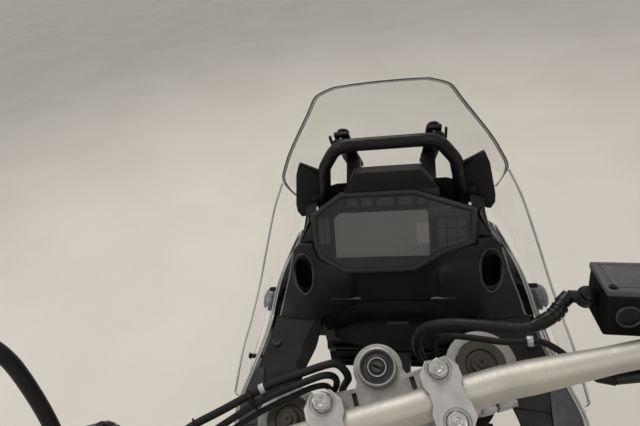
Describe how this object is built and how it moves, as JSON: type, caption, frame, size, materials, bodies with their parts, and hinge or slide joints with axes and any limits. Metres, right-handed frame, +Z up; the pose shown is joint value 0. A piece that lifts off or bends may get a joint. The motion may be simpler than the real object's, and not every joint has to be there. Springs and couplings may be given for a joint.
{
  "type": "motorcycle front cockpit assembly",
  "caption": "Front cockpit of an adventure motorcycle: frame head, fairing, windscreen, display, yokes, fork tubes, handlebar, controls and mirrors, steering about the head tube.",
  "frame": {"origin": "centre of the rear face of the frame head's joint plate, on the motorcycle's middle plane", "axes": "+X to the rider's right, +Y forward, +Z up as the motorcycle stands; the joint plate faces -Y"},
  "size_m": [0.9339, 0.5778, 0.8436],
  "materials": {
    "frame_black": "satin black frame paint",
    "steel": "ground steel",
    "dark_panel": "grained charcoal plastic",
    "gloss_black": "gloss black plastic",
    "side_paint": "grey painted plastic",
    "hoop_black": "black powder coat",
    "silver_alloy": "satin silver anodised",
    "bar_alloy": "brushed anodised",
    "black_alloy": "black anodised",
    "lock_metal": "bright rim",
    "rubber": "soft black",
    "clear_screen": "clear sheet",
    "display_pane": "smoked display window",
    "lamp_clear": "clear lamp lens",
    "signal_smoke": "smoked signal lens",
    "mirror": "mirror"
  },
  "bodies": {
    "fairing": {"frame_head": "frame_black", "head_bearings": "steel", "fairing_stay": "frame_black", "display_housing": "dark_panel", "display_glass": "display_pane", "display_hood": "gloss_black", "instrument_cowl": "dark_panel", "lower_shroud": "dark_panel", "loom_tray": "dark_panel", "accessory_bar": "hoop_black", "screen_arms": "hoop_black", "screen_knobs": "black_alloy", "windscreen": "clear_screen", "side_screen_right": "clear_screen", "side_screen_left": "clear_screen", "deflectors": "gloss_black", "side_cowl_right": "side_paint", "side_cowl_left": "side_paint", "side_trim_right": "gloss_black", "side_trim_left": "gloss_black", "inner_panel_right": "dark_panel", "inner_panel_left": "dark_panel", "headlight_housing": "gloss_black", "headlight_lens": "lamp_clear", "nose_cowl": "gloss_black", "turn_signal_right": "signal_smoke", "turn_signal_left": "signal_smoke"},
    "steering": {"steering_stem": "steel", "stem_adjuster": "steel", "top_yoke": "silver_alloy", "bottom_yoke": "black_alloy", "fork_tube_right": "black_alloy", "fork_tube_left": "black_alloy", "fork_caps": "black_alloy", "ignition_lock": "lock_metal", "risers": "silver_alloy", "clamp_caps": "silver_alloy", "handlebar": "bar_alloy", "grips": "rubber", "bar_ends": "black_alloy", "switch_pod_right": "dark_panel", "switch_pod_left": "dark_panel", "brake_master": "gloss_black", "reservoir_lid": "gloss_black", "clutch_perch": "black_alloy", "brake_lever": "black_alloy", "clutch_lever": "black_alloy", "mirror_stems": "gloss_black", "mirror_heads": "gloss_black", "mirror_glasses": "mirror", "cable_blocks": "black_alloy", "brake_hose": "rubber", "throttle_cable": "rubber", "clutch_cable": "rubber", "wiring_left": "rubber"}
  },
  "joints": [
    {"name": "steering", "type": "hinge", "parent": "fairing", "child": "steering", "pos_m": [0, 0.095, 0], "axis": [0, -0.454, 0.891], "range_deg": [-53, 19]}
  ]
}
